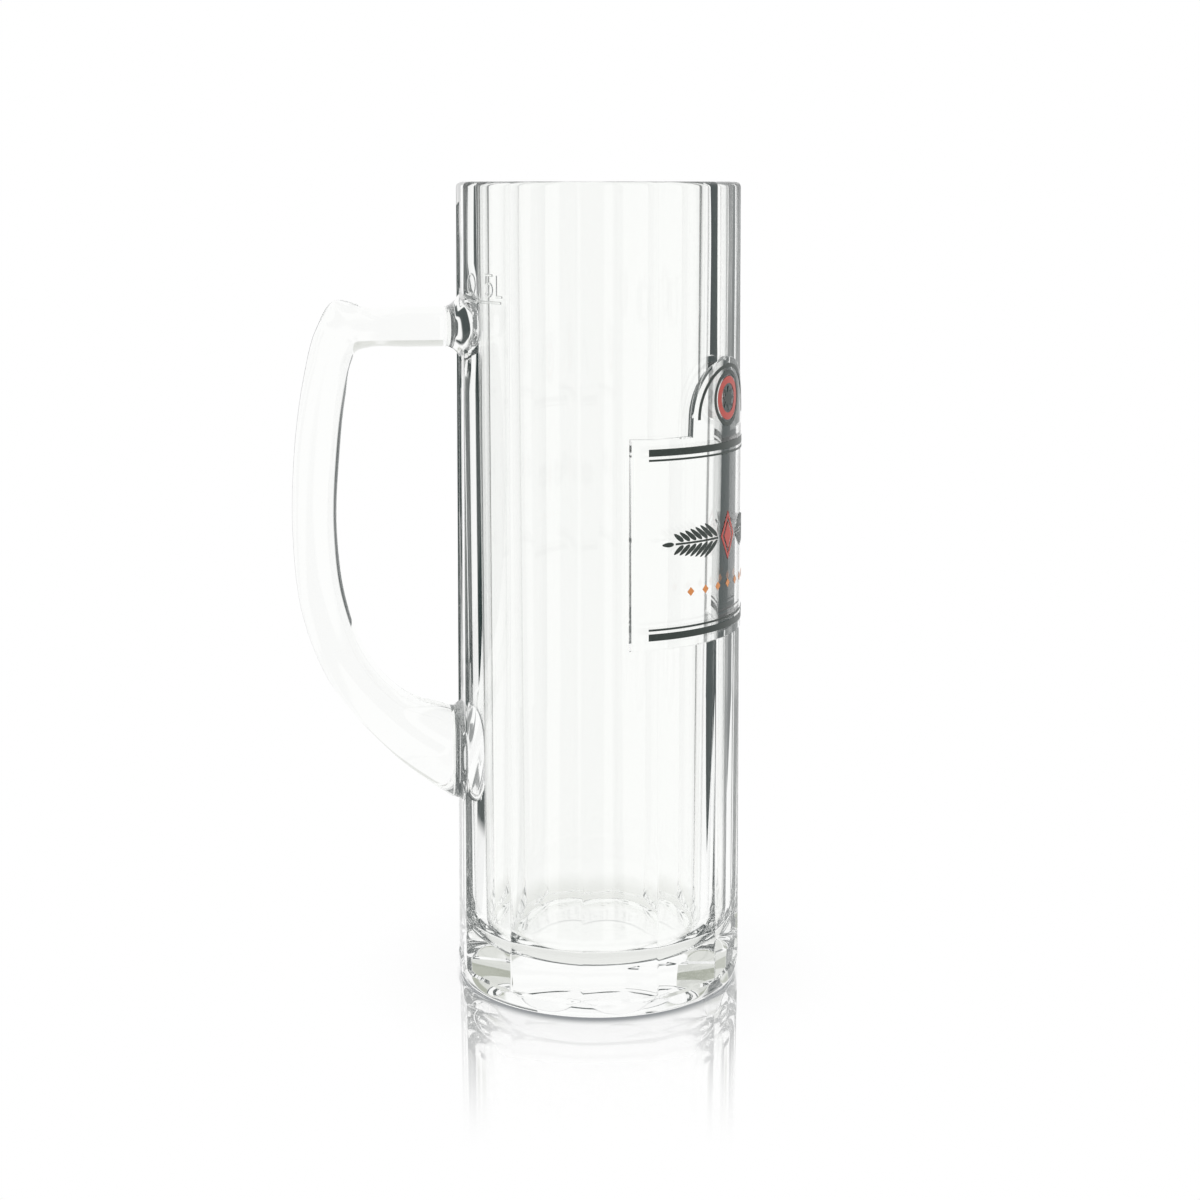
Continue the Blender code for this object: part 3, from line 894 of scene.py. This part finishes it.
def mix_shader(tree, factor, first, second):
    """Shader between two."""
    node = tree.nodes.new("ShaderNodeMixShader")
    tree.links.new(factor, node.inputs["Fac"])
    tree.links.new(first, node.inputs[1])
    tree.links.new(second, node.inputs[2])
    return node.outputs["Shader"]


def emission(tree, colour):
    """Shader that shows a plain colour."""
    node = tree.nodes.new("ShaderNodeEmission")
    node.inputs["Color"].default_value = colour
    return node.outputs["Emission"]


def noise(tree, scale, detail=2.0, stretch=(1.0, 1.0, 1.0)):
    """Noise in object space, in cycles per metre."""
    place = tree.nodes.new("ShaderNodeTexCoord")
    mapping = tree.nodes.new("ShaderNodeMapping")
    mapping.inputs["Scale"].default_value = stretch
    texture = tree.nodes.new("ShaderNodeTexNoise")
    texture.inputs["Scale"].default_value = scale
    texture.inputs["Detail"].default_value = detail
    tree.links.new(place.outputs["Object"], mapping.inputs["Vector"])
    tree.links.new(mapping.outputs["Vector"], texture.inputs["Vector"])
    return texture.outputs["Fac"]


def bump(tree, height, strength, distance):
    """Normal of a surface that a height socket roughens."""
    node = tree.nodes.new("ShaderNodeBump")
    node.inputs["Strength"].default_value = strength
    node.inputs["Distance"].default_value = distance
    tree.links.new(height, node.inputs["Height"])
    return node.outputs["Normal"]


def glass_material(name, ripple):
    """Clear pressed soda glass with a faint tint, faint haze and slight ripples."""
    material, tree, shader = new_surface(name)
    shader.inputs["Base Color"].default_value = GLASS_TINT
    shader.inputs["Transmission Weight"].default_value = 1.0
    shader.inputs["IOR"].default_value = GLASS_IOR
    haze = remap(tree, noise(tree, HAZE_SCALE), *HAZE_SPAN, 0.0, HAZE_ROUGHNESS)
    tree.links.new(haze, shader.inputs["Roughness"])
    waves = noise(tree, RIPPLE_SCALE, RIPPLE_DETAIL, RIPPLE_STRETCH)
    tree.links.new(bump(tree, waves, ripple, RIPPLE_DEPTH), shader.inputs["Normal"])
    return material


def seat_material():
    """Glass that bends nothing, for the faces where the handle has grown together with the vessel."""
    material, _, shader = new_surface("seat_clear")
    shader.inputs["Base Color"].default_value = WHITE
    shader.inputs["Transmission Weight"].default_value = 1.0
    shader.inputs["IOR"].default_value = SEAT_IOR
    shader.inputs["Roughness"].default_value = 0.0
    return material


def enamel_material(name, ink, pale):
    """Fired enamel: slightly uneven ink with pinholes of a paler tone and a soft gloss."""
    material, tree, shader = new_surface(name)
    speckle = noise(tree, SPECKLE_SCALE, SPECKLE_DETAIL)
    colour = mix_colour(tree, remap(tree, speckle, *PINHOLE_SPAN, 0.0, 1.0), ink, pale)
    tree.links.new(colour, shader.inputs["Base Color"])
    tree.links.new(remap(tree, speckle, *GLOSS_SPAN, *ENAMEL_ROUGHNESS), shader.inputs["Roughness"])
    tree.links.new(bump(tree, speckle, SPECKLE_BUMP, SPECKLE_DEPTH), shader.inputs["Normal"])
    return material


def at_least(tree, depth, count):
    """Mask of rays with so many bounces or more."""
    return calculate(tree, "GREATER_THAN", depth, count - DEPTH_MARGIN)


def fewer_than(tree, depth, count):
    """Mask of rays with fewer bounces."""
    return calculate(tree, "LESS_THAN", depth, count - DEPTH_MARGIN)


def just_once(tree, depth):
    """Mask of rays with one bounce."""
    return calculate(tree, "COMPARE", depth, 1.0, DEPTH_MARGIN)


def ray_kinds(tree):
    """Masks of rays in glass: bent by one wall, thrown back in it, bent by two walls, and both."""
    path = tree.nodes.new("ShaderNodeLightPath")
    bent = path.outputs["Is Transmission Ray"]
    thrown, crossed = path.outputs["Glossy Depth"], path.outputs["Transmission Depth"]
    one_wall = multiply(tree, fewer_than(tree, crossed, SECOND_WALL), bent)
    two_walls = multiply(tree, at_least(tree, crossed, SECOND_WALL), bent)
    straight = fewer_than(tree, thrown, 1)
    return RayKinds(
        single=multiply(tree, one_wall, straight),
        thrown=multiply(tree, one_wall, at_least(tree, thrown, 1)),
        through=multiply(tree, two_walls, straight),
        both=multiply(tree, two_walls, at_least(tree, thrown, 2)),
    )


def trapped(tree):
    """Mask of rays that run to and fro inside one wall before they leave it."""
    path = tree.nodes.new("ShaderNodeLightPath")
    often = at_least(tree, path.outputs["Glossy Depth"], TRAPPED_BOUNCES)
    one_wall = fewer_than(tree, path.outputs["Transmission Depth"], SECOND_WALL)
    rays = multiply(tree, path.outputs["Is Transmission Ray"], multiply(tree, often, one_wall))
    return multiply(tree, rays, DARK_TO_TRAPPED)


def compass(tree, vector):
    """Share of a full turn: 0 lies towards -Y and a quarter towards +X."""
    split = tree.nodes.new("ShaderNodeSeparateXYZ")
    tree.links.new(vector, split.inputs["Vector"])
    angle = calculate(tree, "ARCTAN2", split.outputs["X"], multiply(tree, split.outputs["Y"], -1.0))
    return calculate(tree, "FRACT", calculate(tree, "MULTIPLY_ADD", angle, 0.5 / math.pi, 1.0))


def sectors(tree, vector, ranges):
    """Mask of compass sectors in degrees."""
    ramp = tree.nodes.new("ShaderNodeValToRGB")
    elements = ramp.color_ramp.elements
    for start, end in ranges:
        stops = ((start - SECTOR_EDGE, 0.0), (start, 1.0), (end, 1.0), (end + SECTOR_EDGE, 0.0))
        for degrees, value in stops:
            elements.new(degrees / 360).color = (value, value, value, 1.0)
    for limit in (elements[0], elements[-1]):
        limit.color = (0.0, 0.0, 0.0, 1.0)
    tree.links.new(compass(tree, vector), ramp.inputs["Fac"])
    return ramp.outputs["Color"]


def dark_strip(tree, vector, up):
    """Mask of a dark strip under the horizon, seen only mirrored in the outside of the glass."""
    path = tree.nodes.new("ShaderNodeLightPath")
    unbent = fewer_than(tree, path.outputs["Transmission Depth"], 1)
    rays = multiply(tree, just_once(tree, path.outputs["Glossy Depth"]), unbent)
    rays = multiply(tree, rays, calculate(tree, "LESS_THAN", up, 0.0))
    share = calculate(tree, "MULTIPLY_ADD", up, STRIP_SLANT / 360, compass(tree, vector))
    start, end = (degrees / 360 for degrees in STRIP)
    edge = STRIP_EDGE / 360
    strip = multiply(tree, remap(tree, share, start - edge, start, 0.0, 1.0),
                     remap(tree, share, end, end + edge, 1.0, 0.0))
    return multiply(tree, rays, strip)


def blade(tree, vector, away, turn):
    """Mask of a dark patch that is wide far away and comes to a point towards the foot."""
    spread = (BLADE[1] - BLADE[0]) / 360
    reach = calculate(tree, "MULTIPLY_ADD", away, spread / (BLADE_BACK - BLADE_TIP),
                      -spread * BLADE_TIP / (BLADE_BACK - BLADE_TIP))
    beyond = calculate(tree, "SUBTRACT", compass(tree, vector), (BLADE[0] + turn) / 360)
    within = calculate(tree, "LESS_THAN", beyond, calculate(tree, "MINIMUM", reach, spread))
    return multiply(tree, calculate(tree, "GREATER_THAN", beyond, 0.0), within)


def dark_sectors(tree, vector, away, far=False):
    """Mask of the dark surroundings, each sector for the rays that should find it."""
    rays = ray_kinds(tree)
    behind = sectors(tree, vector, DARK_BEHIND)
    if not far:
        behind = multiply(tree, behind, remap(tree, away, BEHIND_START, BEHIND_FULL, BEHIND_SHARE, 1.0))
    pairs = [
        (rays.both, DARK_TO_BOTH),
        (rays.thrown, blade(tree, vector, away, BLADE_FAR_TURN if far else 0.0)),
        (rays.thrown, behind),
        (rays.thrown, sectors(tree, vector, DARK_TO_THROWN)),
        (rays.through, sectors(tree, vector, DARK_TO_THROUGH)),
    ]
    if far:
        pairs.append((rays.single, sectors(tree, vector, DARK_TO_SINGLE)))
    masks = [multiply(tree, kind, mask) for kind, mask in pairs]
    dark = masks[0]
    for mask in masks[1:]:
        dark = larger(tree, dark, mask)
    return dark


def dim_sectors(tree, vector, up):
    """Mask of the dim places higher up, which the base mirrors, with a darker stripe across them."""
    dim = remap(tree, up, DIM_START, DIM_FULL, 0.0, DIM_SHADE)
    stripe = remap(tree, up, STRIPE_LOW - STRIPE_EDGE, STRIPE_LOW, 0.0, STRIPE_SHADE)
    stripe = multiply(tree, stripe, remap(tree, up, STRIPE_HIGH, STRIPE_HIGH + STRIPE_EDGE, 1.0, 0.0))
    mask = multiply(tree, ray_kinds(tree).thrown, sectors(tree, vector, DIM))
    return multiply(tree, larger(tree, dim, stripe), mask)


def lit_sheet(tree, place, away, white):
    """Floor as the camera sees it: a white sheet with a soft shadow, a fading gloss and a painted contact
    shadow.
    """
    matt = tree.nodes.new("ShaderNodeBsdfDiffuse")
    matt.inputs["Color"].default_value = FLOOR_PAPER
    gloss = tree.nodes.new("ShaderNodeBsdfGlossy")
    gloss.inputs["Color"].default_value = WHITE
    gloss.inputs["Roughness"].default_value = REFLECTION_ROUGHNESS
    fade = remap(tree, away, FOOT_RADIUS, SHADOW_END, SHADOW_FADE, 1.0)
    sheet = mix_shader(tree, fade, matt.outputs["BSDF"], white)
    right = (math.cos(STUDIO_TURN), math.sin(STUDIO_TURN), 0.0)
    aside = calculate(tree, "ABSOLUTE", measure(tree, "DOT_PRODUCT", place, right))
    mirror = multiply(tree, remap(tree, away, FOOT_RADIUS, REFLECTION_END, REFLECTION, 0.0),
                      remap(tree, aside, LANE_START, LANE_END, LANE_SHARE, 1.0))
    glossed = mix_shader(tree, mirror, sheet, gloss.outputs["BSDF"])
    # Painted contact shadow: a grey emission ring on the floor, off centre towards the front of the foot
    front = (CONTACT_SHIFT * math.sin(STUDIO_TURN), -CONTACT_SHIFT * math.cos(STUDIO_TURN), 0.0)
    contact = remap(tree, measure(tree, "DISTANCE", place, front),
                    CONTACT_START, CONTACT_END, CONTACT_SHADE, 0.0)
    return mix_shader(tree, contact, glossed, emission(tree, CONTACT_SHADOW_COLOUR))


def foot_shade(tree, away):
    """Mask of the shade painted on the floor round and under the foot, for rays bent straight or thrown
    back once.
    """
    path = tree.nodes.new("ShaderNodeLightPath")
    thrown = path.outputs["Glossy Depth"]
    ring = multiply(tree, remap(tree, away, FOOT_SHADE_START, FOOT_SHADE_FULL, 0.0, FOOT_SHADE),
                    remap(tree, away, FOOT_SHADE_FADE, FOOT_SHADE_END, 1.0, 0.0))
    straight = multiply(tree, fewer_than(tree, thrown, 1), path.outputs["Is Transmission Ray"])
    under = remap(tree, away, UNDER_SHADE_FADE, UNDER_SHADE_END, UNDER_SHADE, 0.0)
    once = multiply(tree, just_once(tree, thrown), ray_kinds(tree).thrown)
    return larger(tree, multiply(tree, ring, straight), multiply(tree, under, once))


def floor_material():
    """Pale sheet; glass sees it white, dim round the foot and dark in sectors farther out."""
    material, tree, output = new_material("studio_floor")
    place = tree.nodes.new("ShaderNodeTexCoord").outputs["Object"]
    away = measure(tree, "LENGTH", place)
    white = emission(tree, WHITE)
    path = tree.nodes.new("ShaderNodeLightPath")
    by_glass = larger(tree, path.outputs["Is Transmission Ray"], path.outputs["Is Glossy Ray"])
    surface = mix_shader(tree, by_glass, lit_sheet(tree, place, away, white), white)
    # Painted shade: a dim emission on the floor round and under the foot, seen only through the glass
    surface = mix_shader(tree, foot_shade(tree, away), surface, emission(tree, DIM_COLOUR))
    dark = dark_sectors(tree, place, away)
    dark = multiply(tree, dark, remap(tree, away, ROOM_START, ROOM_END, 0.0, 1.0))
    dark = larger(tree, dark, trapped(tree))
    surface = mix_shader(tree, dark, surface, emission(tree, ROOM))
    tree.links.new(surface, output.inputs["Surface"])
    return material


def make_floor():
    """Round pale floor just under the foot."""
    bm = bmesh.new()
    bmesh.ops.create_circle(bm, cap_ends=True, segments=FLOOR_STEPS, radius=FLOOR_RADIUS)
    floor = new_object("studio_floor", bm)
    floor.location.z = -FLOOR_DROP
    floor.data.materials.append(floor_material())


def make_world():
    """White surroundings; dark and dim places that only the glass sees draw its edges."""
    scene = bpy.context.scene
    world = bpy.data.worlds.new("studio")
    world.use_nodes = True
    tree = world.node_tree
    heading = tree.nodes.new("ShaderNodeTexCoord").outputs["Generated"]
    split = tree.nodes.new("ShaderNodeSeparateXYZ")
    tree.links.new(heading, split.inputs["Vector"])
    up = split.outputs["Z"]
    dark = dark_sectors(tree, heading, FLOOR_RADIUS, far=True)
    dark = multiply(tree, dark, remap(tree, up, ROOM_TOP, ROOM_FADE, 1.0, 0.0))
    dark = larger(tree, dark, trapped(tree))
    dark = larger(tree, dark, dark_strip(tree, heading, up))
    ceiling = remap(tree, up, CEILING_START, CEILING_FULL, 0.0, CEILING_SHADE)
    ceiling = multiply(tree, ceiling, ray_kinds(tree).single)
    dim = larger(tree, dim_sectors(tree, heading, up), ceiling)
    colour = mix_colour(tree, dark, mix_colour(tree, dim, WHITE, DIM_COLOUR), ROOM)
    tree.links.new(colour, tree.nodes["Background"].inputs["Color"])
    scene.world = world
    scene.view_settings.view_transform = "Standard"
    scene.cycles.max_bounces = BOUNCES
    scene.cycles.transmission_bounces = BOUNCES
    scene.cycles.glossy_bounces = BOUNCES


def make_camera():
    """Camera at the photograph's viewing angle."""
    data = bpy.data.cameras.new("camera")
    data.lens = LENS
    data.sensor_width = SENSOR
    data.clip_start = CLIP_START
    camera = bpy.data.objects.new("camera", data)
    bpy.context.collection.objects.link(camera)
    right = Vector((math.cos(CAMERA_AZIMUTH), math.sin(CAMERA_AZIMUTH), 0.0))
    back = Vector((math.sin(CAMERA_AZIMUTH), -math.cos(CAMERA_AZIMUTH), 0.0))
    camera.location = back * CAMERA_DISTANCE + right * CAMERA_SIDESTEP + Vector((0.0, 0.0, CAMERA_HEIGHT))
    camera.rotation_euler = (math.pi / 2 - CAMERA_PITCH, 0.0, CAMERA_AZIMUTH)
    bpy.context.scene.camera = camera


def main():
    """Studio first, then the glass, the print and the fill mark."""
    make_world()
    make_camera()
    make_floor()
    seat = seat_material()
    clear_seats(make_vessel(glass_material("vessel_glass_clear", VESSEL_RIPPLE)), seat)
    clear_seats(make_handle(glass_material("handle_glass_clear", HANDLE_RIPPLE)), seat)
    dark = enamel_material("enamel_dark_green", *DARK_GREEN)
    red = enamel_material("enamel_red", *RED)
    amber = enamel_material("enamel_amber", *AMBER)
    make_rules(dark)
    make_medallion(dark, red)
    make_ears(dark)
    make_lozenge(red)
    make_beads(amber)
    make_fill_mark(glass_material("fill_mark_clear", MARK_RIPPLE))


main()
